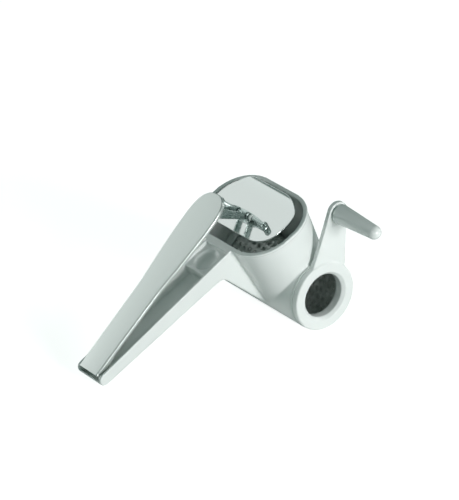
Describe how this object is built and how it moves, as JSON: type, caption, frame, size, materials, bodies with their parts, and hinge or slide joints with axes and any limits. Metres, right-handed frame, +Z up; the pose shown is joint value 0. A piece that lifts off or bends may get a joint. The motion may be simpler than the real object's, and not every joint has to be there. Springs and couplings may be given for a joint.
{
  "type": "rotary cheese grater",
  "caption": "Hand-held rotary grater: hopper and channel handle in one moulding, toothed drum turned by a side crank, and a pressed-steel lever that carries a pivoting press plate.",
  "frame": {"origin": "middle of the whole grater's footprint, on the ground it rests on", "axes": "+X from the lever's hinge end towards the hopper, +Y away from the crank, +Z up; the grater lies on its hinge end and drum housing, so its rim plane is 24.5 degrees from level"},
  "size_m": [0.1892, 0.14, 0.1023],
  "materials": {
    "white_plastic": "satin white moulding",
    "bearing_plastic": "smooth",
    "brushed_steel": "satin brushed",
    "polished_steel": "polished",
    "drum_steel": "bright, toothed"
  },
  "bodies": {
    "body": {"body_housing": "white_plastic", "neck_bearing_ring": "bearing_plastic", "rear_bush": "bearing_plastic", "hinge_pin": "brushed_steel", "hinge_spacer_near": "bearing_plastic", "hinge_spacer_far": "bearing_plastic"},
    "drum": {"drum_shell": "drum_steel", "drum_seam_strip": "drum_steel", "drum_front_collar": "bearing_plastic", "drum_rear_cap": "white_plastic", "drum_retainer": "white_plastic", "crank": "white_plastic", "knob_spindle": "brushed_steel", "knob_washer": "bearing_plastic"},
    "knob": {"knob": "white_plastic"},
    "lever": {"lever": "brushed_steel", "press_arm": "brushed_steel"},
    "plate": {"press_plate": "polished_steel", "plate_bracket": "brushed_steel", "plate_pivot_pin": "brushed_steel", "pivot_bead_near": "bearing_plastic", "pivot_bead_far": "bearing_plastic"}
  },
  "joints": [
    {"name": "crank_turn", "type": "hinge", "parent": "body", "child": "drum", "pos_m": [0.06934, 0.0209, 0.0253], "axis": [0, 1, 0], "continuous": true},
    {"name": "knob_spin", "type": "hinge", "parent": "drum", "child": "knob", "pos_m": [0.08377, -0.0495, 0.08385], "axis": [0, 1, 0], "continuous": true},
    {"name": "lever_swing", "type": "hinge", "parent": "body", "child": "lever", "pos_m": [-0.08965, 0.0209, 0.00435], "axis": [0, -1, 0], "range_deg": [-11.6, 60]},
    {"name": "plate_tilt", "type": "hinge", "parent": "lever", "child": "plate", "pos_m": [0.03898, 0.0209, 0.08059], "axis": [0, -1, 0], "range_deg": [-3, 18]}
  ]
}
